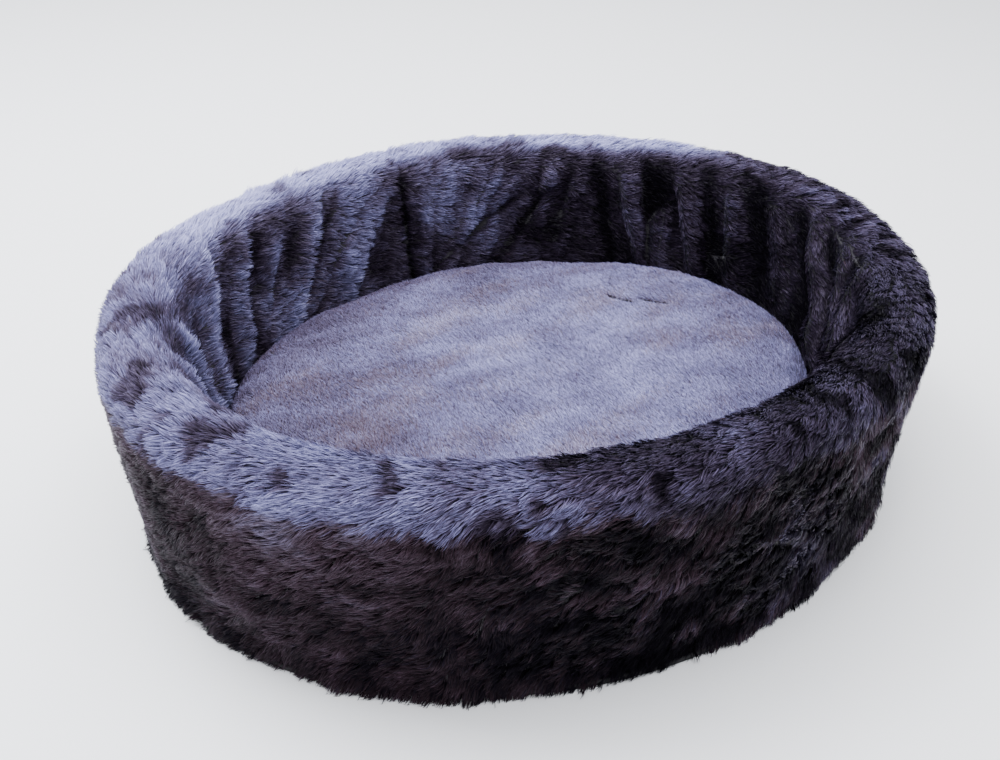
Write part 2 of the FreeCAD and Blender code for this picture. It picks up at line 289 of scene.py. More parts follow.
def scatter(obj, density, rng):
    """Random points on an object's surface, so many per square metre, with smooth normals.

    density is a number, or a function of the triangles' middles that gives one for each.
    """
    co, no, tri = read_mesh(obj)
    a, b, c = co[tri[:, 0]], co[tri[:, 1]], co[tri[:, 2]]
    area = 0.5 * np.linalg.norm(np.cross(b - a, c - a), axis=1)
    per = density((a + b + c) / 3) if callable(density) else density
    want = area * per
    count = np.floor(want + rng.random(len(want))).astype(int)
    pick = np.repeat(np.arange(len(tri)), count)
    u, v = rng.random(len(pick)), rng.random(len(pick))
    flip = u + v > 1
    u[flip], v[flip] = 1 - u[flip], 1 - v[flip]
    w = 1 - u - v
    t = tri[pick]
    place = co[t[:, 0]] * w[:, None] + co[t[:, 1]] * u[:, None] + co[t[:, 2]] * v[:, None]
    normal = no[t[:, 0]] * w[:, None] + no[t[:, 1]] * u[:, None] + no[t[:, 2]] * v[:, None]
    return place, unit(normal)


def outer_shell(node):
    """A CAD node's outside: its corners, and the faces joined to its outermost corner."""
    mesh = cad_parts[node].data
    co = np.array([v.co[:] for v in mesh.vertices])
    faces = [f.vertices[:] for f in mesh.polygons]
    _, same = np.unique(np.round(co, 6), axis=0, return_inverse=True)
    same = same.ravel()
    edges = np.array([(same[f[i - 1]], same[f[i]]) for f in faces for i in range(len(f))])
    group = np.arange(same.max() + 1)
    while True:
        low = group[edges].min(1)
        joined = group.copy()
        np.minimum.at(joined, edges[:, 0], low)
        np.minimum.at(joined, edges[:, 1], low)
        joined = joined[joined]
        if (joined == group).all():
            break
        group = joined
    outside = group[same[co[:, 0].argmax()]]
    return co, [f for f in faces if group[same[f[0]]] == outside]


def clear_of(points, node, gap):
    """The points, moved where needed so that each is at least gap outside that CAD node."""
    co, faces = outer_shell(node)
    tree = BVHTree.FromPolygons([tuple(c) for c in co], faces)
    out = points.copy()
    for i, p in enumerate(points):
        near, facing, _, distance = tree.find_nearest(Vector(p))
        if distance > 4 * gap and (Vector(p) - near).dot(facing) > 0:
            continue
        if (Vector(p) - near).dot(facing) < gap:
            out[i] = near + facing * gap
    return out


# ---- materials --------------------------------------------
def srgb(r, g, b):
    """A colour given as 0-255 screen values, as the linear one that Blender uses."""
    out = []
    for c in (r, g, b):
        c /= 255
        out.append(c / 12.92 if c <= 0.04045 else ((c + 0.055) / 1.055) ** 2.4)
    return (*out, 1.0)


class Nodes:
    """Short names for building one material's node tree."""

    def __init__(self, name):
        self.material = bpy.data.materials.new(name)
        self.material.use_nodes = True
        self.tree = self.material.node_tree
        self.shader = next(n for n in self.tree.nodes if n.type == "BSDF_PRINCIPLED")

    def add(self, kind, **values):
        node = self.tree.nodes.new(kind)
        for key, value in values.items():
            setattr(node, key, value)
        return node

    def link(self, source, target):
        self.tree.links.new(source, target)

    def coords(self):
        return self.add("ShaderNodeTexCoord").outputs["Object"]

    def noise(self, scale, detail=4.0):
        node = self.add("ShaderNodeTexNoise")
        node.inputs["Scale"].default_value = scale
        node.inputs["Detail"].default_value = detail
        self.link(self.coords(), node.inputs["Vector"])
        return node.outputs["Fac"]

    def wave(self, scale, axis, distortion):
        node = self.add("ShaderNodeTexWave", wave_type="BANDS", bands_direction=axis)
        node.inputs["Scale"].default_value = scale
        node.inputs["Distortion"].default_value = distortion
        self.link(self.coords(), node.inputs["Vector"])
        return node.outputs["Fac"]

    def ramp(self, value, stops):
        node = self.add("ShaderNodeValToRGB")
        ramp = node.color_ramp
        while len(ramp.elements) < len(stops):
            ramp.elements.new(0.5)
        for element, (place, colour) in zip(ramp.elements, stops):
            element.position = place
            element.color = colour
        self.link(value, node.inputs["Fac"])
        return node.outputs["Color"]

    def math(self, operation, a, b):
        node = self.add("ShaderNodeMath", operation=operation)
        for socket, value in zip(node.inputs, (a, b)):
            if isinstance(value, (int, float)):
                socket.default_value = value
            else:
                self.link(value, socket)
        return node.outputs[0]

    def bump(self, height, strength, distance):
        node = self.add("ShaderNodeBump")
        node.inputs["Strength"].default_value = strength
        node.inputs["Distance"].default_value = distance
        self.link(height, node.inputs["Height"])
        self.link(node.outputs["Normal"], self.shader.inputs["Normal"])

    def set(self, **values):
        for key, value in values.items():
            self.shader.inputs[key.replace("_", " ")].default_value = value
        return self


def under_fur(name, dark, light):
    """The knitted backing and packed root pile that show between the locks."""
    m = Nodes(name)
    clumps = m.noise(120.0, 6.0)
    m.link(m.ramp(clumps, [(0.30, dark), (0.72, light)]), m.shader.inputs["Base Color"])
    m.bump(m.noise(900.0, 3.0), 0.5, 0.0006)
    m.set(Roughness=0.85, Sheen_Weight=0.2, Sheen_Roughness=0.5)
    return m.material


def woven(name, dark, light, threads, rough=0.8):
    """Plain weave: two crossed sets of threads for colour and height, with slight shading."""
    m = Nodes(name)
    weave = m.math("MULTIPLY", m.wave(threads, "X", 0.4), m.wave(threads, "Y", 0.4))
    cloudy = m.math("ADD", m.math("MULTIPLY", weave, 0.6), m.math("MULTIPLY", m.noise(35.0), 0.5))
    m.link(m.ramp(cloudy, [(0.15, dark), (0.85, light)]), m.shader.inputs["Base Color"])
    m.bump(weave, 0.6, 0.0003)
    m.set(Roughness=rough)
    return m.material


def speckled(name, dark, light, scale, rough, metallic=0.0):
    """A cast or moulded surface with fine uneven grain and tone."""
    m = Nodes(name)
    fac = m.noise(scale, 5.0)
    m.link(m.ramp(fac, [(0.3, dark), (0.7, light)]), m.shader.inputs["Base Color"])
    m.bump(fac, 0.4, 0.0002)
    m.set(Roughness=rough, Metallic=metallic)
    return m.material


# Fur tones from root shadow to lit tip: painted shade at the roots and painted light at the
# tips, the upper steps' lavender a painted bluish sheen. Each is one plain finish: a lock's
# colour comes from which tone each of its hairs gets, so the pile needs no image map. The
# brownish tones are the same ladder from its third step on.
FUR_TONES = [
    (8, 6, 11), (14, 10, 17), (24, 18, 28), (38, 30, 43), (54, 46, 63),
    (70, 62, 85), (87, 82, 112), (106, 104, 143), (128, 127, 169), (154, 154, 198),
]
BROWN_FROM = 2
BROWN_TONES = [
    (27, 18, 22), (43, 30, 37), (61, 46, 56), (76, 63, 76), (88, 78, 96), (106, 98, 124),
    (129, 122, 150), (154, 148, 179),
]


def fur_tones(prefix, rough, sheen):
    """The ladder's materials, then the brownish ones."""
    tones = []
    for k, colour in enumerate(FUR_TONES + BROWN_TONES):
        step = k if k < len(FUR_TONES) else k - len(FUR_TONES) + BROWN_FROM
        m = Nodes("%s_tone_%d" % (prefix, k))
        m.set(Base_Color=srgb(*colour), Roughness=rough, Sheen_Weight=sheen * 0.12 * step,
              Sheen_Roughness=0.4, Sheen_Tint=srgb(205, 208, 255),
              Specular_IOR_Level=0.02 + 0.022 * step, Specular_Tint=(0.84, 0.74, 0.92, 1))
        tones.append(m.material)
    return tones


# ---- hair -------------------------------------------------
# A hair's shape: for each stretch from the root, its angle off the skin as a share of the
# lift, its share of the length, and its width at its lower end; the tip is a point.
LONG_HAIR = [(1.35, 0.36, 0.75), (0.90, 0.34, 1.0), (0.45, 0.30, 0.62)]
SHORT_HAIR = [(1.25, 0.52, 0.9), (0.60, 0.48, 0.8)]
ROOT_SUNK = 0.0006                     # roots start this far inside the skin
FLOOR_CLEAR = 0.0006                   # and no hair comes nearer to the floor than this
TONE_SPAN = (-1.1, 0.7)                # a hair is darker at the root and lighter at the tip: painted root shade, painted tip light


def hair_mesh(name, rng, tones, shape, root, normal, flow, length, width, lift, tone, tips,
              share, brown):
    """Flat tapering hairs that bend over, their tips drawn a share of the way to tips.

    tone is each hair's place on the ladder of tones, and brown marks those that take it from
    the brownish ladder.
    """
    count, bends = len(root), len(shape)
    side = unit(np.cross(flow, normal))
    roll = rng.normal(0.0, 0.5, count)
    blade = unit(side * np.cos(roll)[:, None] + normal * np.sin(roll)[:, None])
    joints = [root - normal * ROOT_SUNK]
    for rise, step, _ in shape:
        a = lift * rise
        direction = flow * np.cos(a)[:, None] + normal * np.sin(a)[:, None]
        joints.append(joints[-1] + direction * (length * step)[:, None])
    pull = (tips - joints[-1]) * share[:, None]
    for k in range(2, bends + 1):
        joints[k] = joints[k] + pull * ((k - 1) / (bends - 1)) ** 1.15
    for joint in joints:
        joint[:, 2] = np.maximum(joint[:, 2], FLOOR_CLEAR)
    points = 2 * bends + 1
    verts = np.empty((count, points, 3))
    for k, (_, _, thick) in enumerate(shape):
        half = blade * (width * thick * 0.5)[:, None]
        verts[:, 2 * k] = joints[k] - half
        verts[:, 2 * k + 1] = joints[k] + half
    verts[:, -1] = joints[-1]
    pattern, rung = [], []
    for k in range(bends - 1):
        j = 2 * k
        pattern += [(j, j + 1, j + 3), (j, j + 3, j + 2)]
        rung += [k, k]
    pattern.append((points - 3, points - 2, points - 1))
    rung.append(bends - 1)
    faces = (np.arange(count)[:, None, None] * points + np.array(pattern)[None]).reshape(-1, 3)
    obj = mesh_object(name, verts.reshape(-1, 3), faces)
    for material in tones:
        obj.data.materials.append(material)
    change = np.linspace(*TONE_SPAN, bends)[rung]
    index = np.floor(tone[:, None] + change[None] + rng.random((count, 1)) * 0.6)
    index = np.clip(index, 0, len(FUR_TONES) - 1)
    other = index - BROWN_FROM + len(FUR_TONES)
    index = np.where(brown[:, None] & (index >= BROWN_FROM), other, index)
    obj.data.polygons.foreach_set("material_index", index.astype(np.int32).ravel())
    return obj


def hair_pieces(pattern, group, count, rng, tones, shape, **hairs):
    """One object of hairs for each group from 0 up to count, named by that pattern."""
    return [hair_mesh(pattern % k, rng, tones, shape,
                      **{key: value[group == k] for key, value in hairs.items()})
            for k in range(count)]


def turn(flow, normal, angle):
    """flow turned in the skin's plane by angle."""
    across = np.cross(normal, flow)
    return unit(flow * np.cos(angle)[:, None] + across * np.sin(angle)[:, None])


def in_skin(flow, normal):
    """The directions laid into the skin's plane."""
    return unit(flow - normal * (flow * normal).sum(1, keepdims=True))


def level_with(root, centre, normal):
    """Each lock's centre, moved along the normal to the height of the hair's root."""
    return centre + normal * ((root - centre) * normal).sum(1, keepdims=True)


def ride_all(objects, body):
    """Attaches each of a list of hair objects to that body."""
    for obj in objects:
        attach(obj, body)


# ---- the wall's cover -------------------------------------
WALL_AROUND, WALL_ALONG = 800, 120     # points round the oval and over the section
SECTION_MIDDLE = 0.06                  # inset at which the inner face's lengths are measured

# The folded panel's section as (inset, height), from the outer foot over the crown and down
# to the inner foot. The crown has a fairly sharp outer shoulder and falls towards the inside.
WALL_SECTION = [
    (0.0150, 0.0055), (0.0136, 0.030), (0.0100, 0.080), (0.0066, 0.128), (0.0054, 0.146),
    (0.0066, 0.1580), (0.0120, 0.1670), (0.0210, 0.1712), (0.0320, 0.1710), (0.0420, 0.1680),
    (0.0500, 0.1600), (0.0545, 0.1490), (0.0575, 0.130), (0.0620, 0.105), (0.0672, 0.084),
    (0.0702, 0.060), (0.0705, 0.035), (0.0695, 0.0125),
]

# Folds (standing out) and creases (sunk) on the inner face: normal angle in degrees near the
# crown and near the cushion, how far it stands out and how wide it is in millimetres, which
# side falls steeply (1 anticlockwise, -1 clockwise, 0 neither), and the heights it spans. The
# far side's angles were first measured off the photograph and rounded, then moved.
FOLD_TOP, FOLD_BOTTOM = 0.165, 0.080
FOLD_REACH = 0.05                      # beyond this a fold leaves the cover alone
FOLD_FADE = 0.012                      # half the height over which a fold runs out
SUNK_MOST = 0.0034                     # a crease can't sink further: the foam is behind it
FOLDS = [
    # folds
    (141, 158, 6, 6, -1, 0.05, 0.18), (147, 160, 5, 4, 0, 0.05, 0.13), (128, 139, 6, 7, -1, 0.05, 0.18),
    (122, 127, 4, 8, 0, 0.05, 0.15), (113, 121, 8, 7, -1, 0.05, 0.18), (106, 112, 6, 12, 0, 0.09, 0.18),
    (101, 110, 6, 7, -1, 0.05, 0.15), (95, 96, 5, 7, 0, 0.05, 0.18), (90, 94, 4, 11, 0, 0.10, 0.18),
    (82, 91, 6, 8, 0, 0.05, 0.18), (79, 86, 4, 8, 0, 0.05, 0.15), (73, 76, 5, 7, 0, 0.10, 0.18),
    (68, 71, 4, 6, 0, 0.08, 0.15), (62, 57, 12, 8, 1, 0.05, 0.18), (56, 54, 5, 6, 0, 0.05, 0.13),
    (51, 41, 12, 8, 1, 0.05, 0.18), (36, 28, 7, 7, 1, 0.05, 0.16), (20, 8, 5, 8, 0, 0.08, 0.17),
    (6, -18, 12, 8, 1, 0.05, 0.18), (-10, -28, 7, 7, 0, 0.05, 0.18), (-22, -36, 9, 9, 0, 0.05, 0.18),
    # creases
    (152, 168, -12, 5, 0, 0.05, 0.135), (138, 146, -13, 5, 0, 0.05, 0.115), (135, 147, -4, 8, 0, 0.09, 0.18),
    (125, 133, -7, 5, 0, 0.05, 0.16), (116, 128, -6, 8, 0, 0.05, 0.15), (110, 120, -10, 4, 0, 0.09, 0.18),
    (104, 116, -3, 5, 0, 0.05, 0.16), (99, 107, -2, 4, 0, 0.08, 0.17), (83, 90, -5, 3, 0, 0.12, 0.18),
    (70, 93, -5, 6, 0, 0.05, 0.135), (76, 75, -7, 5, 0, 0.12, 0.17), (69, 82, -8, 6, 0, 0.05, 0.135),
    (70, 72, -7, 6, 0, 0.12, 0.17), (66, 63, -10, 6, 0, 0.05, 0.18), (58, 56, -9, 5, 0, 0.05, 0.17),
    (56, 55, -7, 6, 0, 0.12, 0.17), (43, 36, -10, 6, 0, 0.05, 0.18), (28, 17, -10, 9, 0, 0.05, 0.18),
    (12, -5, -10, 7, 0, 0.05, 0.18), (0, -25, -9, 5, 0, 0.05, 0.18), (-16, -32, -7, 6, 0, 0.05, 0.18),
]


def front_folds():
    """Folds and creases for the near side's inner face, uneven in place, size and slant."""
    rng = np.random.default_rng(7)
    out, at = [], 172.0
    while at < 318.0:
        slant = rng.uniform(-7, 7)
        out.append((at, at + slant, rng.uniform(4, 11), rng.uniform(6, 10),
                    rng.choice([-1, 0, 1]), 0.05, rng.uniform(0.14, 0.18)))
        at += rng.uniform(4.5, 8.0)
        out.append((at, at + slant * 0.6, -rng.uniform(4, 9), rng.uniform(4, 8), 0,
                    rng.uniform(0.05, 0.09), 0.18))
        at += rng.uniform(4.0, 8.0)
    return out


ALL_FOLDS = FOLDS + front_folds()


def gathers(angle, height):
    """How far the inner face's folds stand out, in metres; the creases are negative."""
    angle, height = np.broadcast_arrays(angle, height)
    around = local_radius(angle, SECTION_MIDDLE)
    down = np.clip((FOLD_TOP - height) / (FOLD_TOP - FOLD_BOTTOM), -0.2, 1.4)
    places = np.stack([np.cos(angle).ravel() * 0.25, np.sin(angle).ravel() * 0.25,
                       height.ravel()], 1)
    uneven = 1 + 0.30 * noise(places, 0.04, 15).reshape(height.shape)
    wander = 0.0030 * noise(places, 0.03, 16).reshape(height.shape)
    total = np.full(angle.shape, -0.0010)
    for top, bottom, out, width, steep, low, high in ALL_FOLDS:
        centre = np.radians(top + (bottom - top) * down)
        gap = angle_gap(angle, centre) * around + wander
        close = np.abs(gap) < FOLD_REACH
        side = 1 - 0.5 * steep * np.sign(gap[close])
        part = np.exp(-np.abs(gap[close] / (width * 0.001 * side)) ** 1.7)
        span = smoothstep(low - FOLD_FADE, low + FOLD_FADE, height[close])
        span = span * smoothstep(high + FOLD_FADE, high - FOLD_FADE, height[close])
        total[close] += out * 0.001 * part * span * uneven[close]
    return total


def wall_skin():
    """The fur panel's backing: a grid round the oval and over the section, with its gathers."""
    around, along = WALL_AROUND, WALL_ALONG
    angles = even_angles(around, 0.03)
    section = curve_through(WALL_SECTION, along)
    inset, height = section.T
    share = np.linspace(0, 1, along)
    crown_at = section[:, 1].argmax() / (along - 1)

    inner = smoothstep(crown_at + 0.04, crown_at + 0.17, share)
    foot = 1 - 0.75 * smoothstep(0.088, 0.060, height)
    stand = gathers(angles[:, None], height)
    stand = np.where(stand < 0, -SUNK_MOST * np.tanh(-stand / SUNK_MOST), stand) * inner * foot

    # the upright join pulls in a narrow groove with small puckers on both sides
    gap = (angle_gap(angles, SEAM_AT) * local_radius(angles, SECTION_MIDDLE))[:, None]
    seam = np.exp(-(gap / 0.0030) ** 2) * smoothstep(crown_at - 0.06, crown_at + 0.05, share)
    pucker = np.sin(height * 2 * math.pi / 0.0125) * np.exp(-(gap / 0.010) ** 2)
    stand += -0.0055 * seam + 0.0014 * pucker * inner

    flat = swept(angles, inset, height).reshape(-1, 3)
    soft = (0.0016 * noise(flat, 0.080, 11) + 0.0012 * noise(flat, 0.032, 12)).reshape(around, along)
    soft *= 1 + 0.7 * (share < crown_at - 0.12)
    sway = (0.0028 * noise(flat * (1, 1, 0.3), 0.14, 13)).reshape(around, along)

    # normals of the plain section, to push along
    du, dz = np.gradient(section[:, 0]), np.gradient(section[:, 1])
    size = np.hypot(du, dz)
    push = stand + soft
    inset2 = inset - dz / size * push
    on_crown = smoothstep(0.30, 0.42, share) * (1 - smoothstep(0.55, 0.75, share))
    height2 = height + du / size * push + sway * on_crown
    points = swept(angles, inset2, np.maximum(height2, 0.0052))
    points = clear_of(points.reshape(-1, 3), "wall_foam", 0.0015).reshape(points.shape)
    return grid_object("wall_cover_skin", points)


def clockwise(angle):
    """The oval's tangent, clockwise seen from above, for each normal angle."""
    return np.stack([np.sin(angle), -np.cos(angle), np.zeros(len(angle))], 1)


FUR_LENGTH, FUR_WIDTH = 0.0125, 0.00069
LOCK, BIG_LOCK = 0.0080, 0.024         # how far apart the locks' centres are
FUR_SECTORS = 14                       # objects that the wall's hairs are shared among
FUR_DENSITY = 840000.0                 # hairs per square metre, here and in the next two
HEM_DENSITY = 950000.0                 # low on the outer face, over the binding
COVERED_DENSITY = 130000.0             # on the inner face, behind the cushion
PAINTED_SHEEN_LEAN = np.array([-0.25, 0.90, 0.35])     # pile that points this way is painted lighter, and against it darker: a painted sheen


def fur_density(middle):
    """Hairs per square metre for triangles of the wall's skin with those middles."""
    inset, _ = inset_and_angle(middle[:, :2])
    hidden = (inset > 0.05) & (middle[:, 2] < 0.048)
    low = (inset < 0.03) & (middle[:, 2] < 0.022)
    return np.where(hidden, COVERED_DENSITY, np.where(low, HEM_DENSITY, FUR_DENSITY))


def wall_zones(root):
    """Where each root lies on the wall, and how far it belongs to each zone, from 0 to 1."""
    inset, angle = inset_and_angle(root[:, :2])
    z = root[:, 2]
    west = -np.cos(angle)                     # 1 at the bed's left end, -1 at its right
    inner = smoothstep(0.040, 0.053, inset)
    outer = 1 - smoothstep(0.147, 0.159, z + 0.006 * noise(root, 0.02, 20))
    outer *= inset < 0.03
    gap = angle_gap(angle, SEAM_AT) * local_radius(angle, SECTION_MIDDLE)
    return SimpleNamespace(
        inset=inset, angle=angle, z=z, west=west, rear=np.sin(angle), gap=gap, inner=inner,
        outer=outer, crown=np.clip(1 - inner - outer, 0, 1),
        near=np.exp(-(gap / 0.0030) ** 2) * inner * (z > 0.06),    # beside the upright join, where the pile parts and is painted darker as shade
        pressed=inner * (1 - smoothstep(0.050, 0.076, z)),         # held flat by the cushion, and painted darker there as shade
        hem=outer * (1 - smoothstep(0.008, 0.028, z)),             # hangs over the binding
        calm=outer * smoothstep(0.10, 0.60, west))                 # combed smooth at the left end


def wall_flow(at, root, normal, along, own, big_own, rng):
    """Where the pile points: clockwise, turned this way and that lock by lock."""
    bend = (0.42 * noise(root, 0.055, 21) + 0.34 * noise(root, 0.021, 22)
            + 0.55 * (own - 0.5) + 0.80 * (big_own - 0.5))
    bend *= 0.80 + 1.35 * at.outer - 0.95 * at.calm + 0.1 * at.inner
    bend += 0.30 * at.crown + 0.45 * at.outer - 0.25 * at.inner
    bend += rng.normal(0, 0.10, len(root))
    flow = turn(along, normal, bend)
    down = np.cross(normal, along)
    flow = unit(flow * (1 - 0.85 * at.hem)[:, None] + down * (1.3 * at.hem)[:, None])
    # the pile parts along the join
    return unit(flow - (np.sign(at.gap) * at.near * 0.9)[:, None] * along)


def wall_tone(at, root, lean, own, rng):
    """Place on the ladder of tones, with painted light and shade: a painted sheen where the pile leans along
    PAINTED_SHEEN_LEAN, the crown and the left end painted lighter, painted shade in the creases, the pockets
    and low down.
    """
    west, rear, z = at.west, at.rear, at.z
    # Painted light and shade: the crown, facing up, set lighter than the faces; the left end painted lighter
    # and the right end darker on the crown, the inner and the outer face; painted highlights along the back
    # of the crown and on its front left.
    tone = at.crown * (3.8 + 3.4 * smoothstep(-0.40, 0.75, west)
                       - 0.5 * smoothstep(0.85, 1.0, west))
    tone += (at.crown * (3.6 + 2.2 * smoothstep(0.2, -0.5, west)) * smoothstep(0.50, 0.90, rear)
             * smoothstep(0.048, 0.032, at.inset))
    tone += at.crown * 0.5 * smoothstep(0.0, -0.6, rear) * smoothstep(-0.2, 0.3, west)
    tone += at.inner * (2.4 + 2.7 * smoothstep(-0.50, 0.0, west)
                        - 1.2 * smoothstep(-0.75, -0.95, west) + 0.5 * smoothstep(0.35, 0.70, west))
    tone += at.outer * (2.3 + 0.5 * smoothstep(0.0, 0.4, west) + 1.3 * smoothstep(0.15, 0.60, west)
                        - 0.6 * smoothstep(0.65, 0.90, west) + 0.4 * smoothstep(0.0, -0.7, west))
    # the inner face's folds painted lighter and its creases darker: painted highlight and painted shade
    tone += at.inner * np.clip(gathers(at.angle, z) / 0.0042, -3.2, 1.2) * 1.25
    # the outer face painted lighter high up and darker low down, with a painted highlight along its back
    # shoulder: painted light and shade
    tone += at.outer * (0.9 * smoothstep(0.105, 0.140, z) - 0.6 * smoothstep(0.10, 0.03, z))
    tone += at.outer * 1.2 * smoothstep(0.125, 0.152, z) * smoothstep(0.2, 0.6, rear)
    tufts = noise(root, 0.020, 56) + 0.6 * noise(root, 0.009, 57)
    tone += (at.outer - 0.75 * at.calm) * (1.9 * smoothstep(0.05, 0.85, tufts) - 0.6)
    # painted sheen from the way each hair leans
    tone += 1.1 * (lean @ PAINTED_SHEEN_LEAN)
    tone += (1.1 * noise(root, 0.045, 51)
             + (0.85 + 1.4 * at.outer - 1.3 * at.calm) * noise(root, 0.018, 52)
             + 1.1 * (own - 0.5) + rng.normal(0, 0.32, len(root)))
    tone -= 2.6 * at.crown * smoothstep(0.36, 0.60, noise(root, 0.014, 54))
    tone -= ((1.9 - 0.7 * at.inner - 0.6 * at.crown - 1.2 * at.calm)
             * smoothstep(0.30, 0.60, noise(root, 0.026, 53)))
    # painted shade in the parting beside the upright join and low on the inner face behind the cushion
    return tone - (4.0 * at.near + 1.2 * at.pressed)


def wall_fur(skin, tones):
    """Long silky pile, laid clockwise round the bed, mixed and shaggy on the outer face."""
    rng = np.random.default_rng(41)
    root, normal = scatter(skin, fur_density, rng)
    at = wall_zones(root)
    inner, outer, calm = at.inner, at.outer, at.calm
    centre, own = locks(root, LOCK, 71)
    big_centre, big_own = locks(root, BIG_LOCK, 72)
    along = in_skin(clockwise(at.angle), normal)
    flow = wall_flow(at, root, normal, along, own, big_own, rng)

    length = FUR_LENGTH + 0.0022 * noise(root, 0.03, 31) + 0.0030 * (own - 0.5)
    length *= 1 + rng.normal(0, 0.12, len(root))
    length *= 1 - 0.40 * inner - 0.20 * at.pressed - 0.04 * outer - 0.12 * calm + 0.55 * at.hem
    lift = np.radians(26 + 9 * noise(root, 0.022, 32) + 10 * (own - 0.5)
                      + rng.normal(0, 5, len(root)) - 12 * at.pressed - 5 * inner + 4 * outer
                      + 10 * at.hem)
    lift = np.clip(lift, math.radians(6), math.radians(52))
    width = FUR_WIDTH * (1 + rng.normal(0, 0.18, len(root)))

    # each lock's tips gather towards one place
    lock_flow = unit(flow * 0.45 + along * 0.55)
    tips = level_with(root, centre, normal) + lock_flow * 0.0100 + normal * 0.0040
    wide = level_with(root, big_centre, normal) + lock_flow * 0.0120 + normal * 0.0060
    tips = tips + (wide - tips) * (0.16 * outer)[:, None]
    share = np.clip(0.44 + 0.25 * noise(root, 0.04, 33) - 0.12 * inner, 0.05, 0.7)

    tone = wall_tone(at, root, flow - along, own, rng)
    # the outer face mostly takes the brownish ladder; elsewhere the lavender ladder's tint is a painted
    # bluish sheen
    brown = (0.42 + 0.30 * smoothstep(0.0, 0.4, at.west)
             + 0.20 * smoothstep(0.085, 0.125, at.z)) * outer
    brown += 0.25 * noise(root, 0.05, 55) + rng.normal(0, 0.14, len(root))
    ends = np.sort(even_angles(FUR_SECTORS, 0.02))
    sector = np.searchsorted(ends, np.mod(at.angle, 2 * math.pi)) % FUR_SECTORS
    return hair_pieces("wall_fur_%02d", sector, FUR_SECTORS, rng, tones, LONG_HAIR, root=root,
                       normal=normal, flow=flow, length=length, width=width, lift=lift,
                       tone=tone, tips=tips, share=share, brown=brown > 0.40)


# ---- the cushion ------------------------------------------
CUSHION_AROUND, CUSHION_ALONG = 300, 34
CUSHION_FLAT = 0.0004                  # its flat bottom, over the CAD underside's lowest point
FILL_FRAMES = 20
FILLING = dict(quality=5, mass=0.25, tension_stiffness=18, compression_stiffness=12,
               bending_stiffness=0.6, use_pressure=True, uniform_pressure_force=4.0)
CUSHION_CAP = 0.004                    # most that a point may move while it fills
NAP_LENGTH, NAP_WIDTH, NAP_LOCK = 0.0062, 0.00064, 0.0048
NAP_DENSITY = 1200000.0                # hairs per square metre
NAP_BANDS = 6                          # objects that the nap's hairs are shared among
# The nap's two short creases: their ends, measured off the photograph, and how deep.
CREASES = [((0.0997, 0.0676), (0.1181, 0.0508), 0.0030),
           ((0.1236, 0.0540), (0.1458, 0.0377), 0.0036)]
FOLD_HALF, FOLD_END, FOLD_DEEP = 0.0174, 0.1785, 0.0148    # the zip's fold in the underside
FOLD_STEP = 0.0036                     # mesh this near the fold's sides is gathered onto them
MOUTH_HALF, MOUTH_END = 0.0065, 0.172  # the cloth's gap along the zip's teeth


def pillow_grid(name):
    """Closed start shape: the cushion's oval, a little slack, before it is filled."""
    section = curve_through([
        (0.030, CUSHION_FLAT), (0.0145, 0.0010), (0.0080, 0.0052), (0.0042, 0.0150),
        (0.0028, 0.0300), (0.0028, 0.0500), (0.0034, 0.0580), (0.0056, 0.0638), (0.0105, 0.0680),
        (0.0200, 0.0702), (0.0420, 0.0720), (0.0660, 0.0733)], CUSHION_ALONG)
    around, b = CUSHION_AROUND, len(section)
    points = swept(even_angles(around, CUSHION_INSET), CUSHION_INSET + section[:, 0],
                   CUSHION_FOOT + section[:, 1])
    verts = points.reshape(-1, 3)
    faces = [tuple(int(v) for v in quad) for quad in grid_quads(around, b)[0]]
    foot = len(verts)
    verts = np.vstack([verts, (0, 0, CUSHION_FOOT + CUSHION_FLAT), (0, 0, CUSHION_FOOT + 0.0738)])
    for k in range(around):
        n = (k + 1) % around
        faces.append((n * b, k * b, foot))
        faces.append((k * b + b - 1, n * b + b - 1, foot + 1))
    mesh = bpy.data.meshes.new(name)
    mesh.from_pydata([tuple(v) for v in verts], [], faces)
    return placed(name, mesh)


def apply_modifiers(obj):
    """Replaces the object's mesh by what its modifiers make of it."""
    dg = bpy.context.evaluated_depsgraph_get()
    mesh = bpy.data.meshes.new_from_object(obj.evaluated_get(dg))
    old = obj.data
    obj.modifiers.clear()
    obj.data = mesh
    bpy.data.meshes.remove(old)


def blow_up(obj):
    """Cloth filled by pressure for FILL_FRAMES frames."""
    cloth = obj.modifiers.new("cloth", "CLOTH")
    for key, value in FILLING.items():
        setattr(cloth.settings, key, value)
    cloth.settings.effector_weights.gravity = 0.0
    cloth.collision_settings.use_collision = False
    cloth.point_cache.frame_start, cloth.point_cache.frame_end = 1, FILL_FRAMES
    for number in range(1, FILL_FRAMES + 1):
        bpy.context.scene.frame_set(number)
    apply_modifiers(obj)
    bpy.context.scene.frame_set(1)


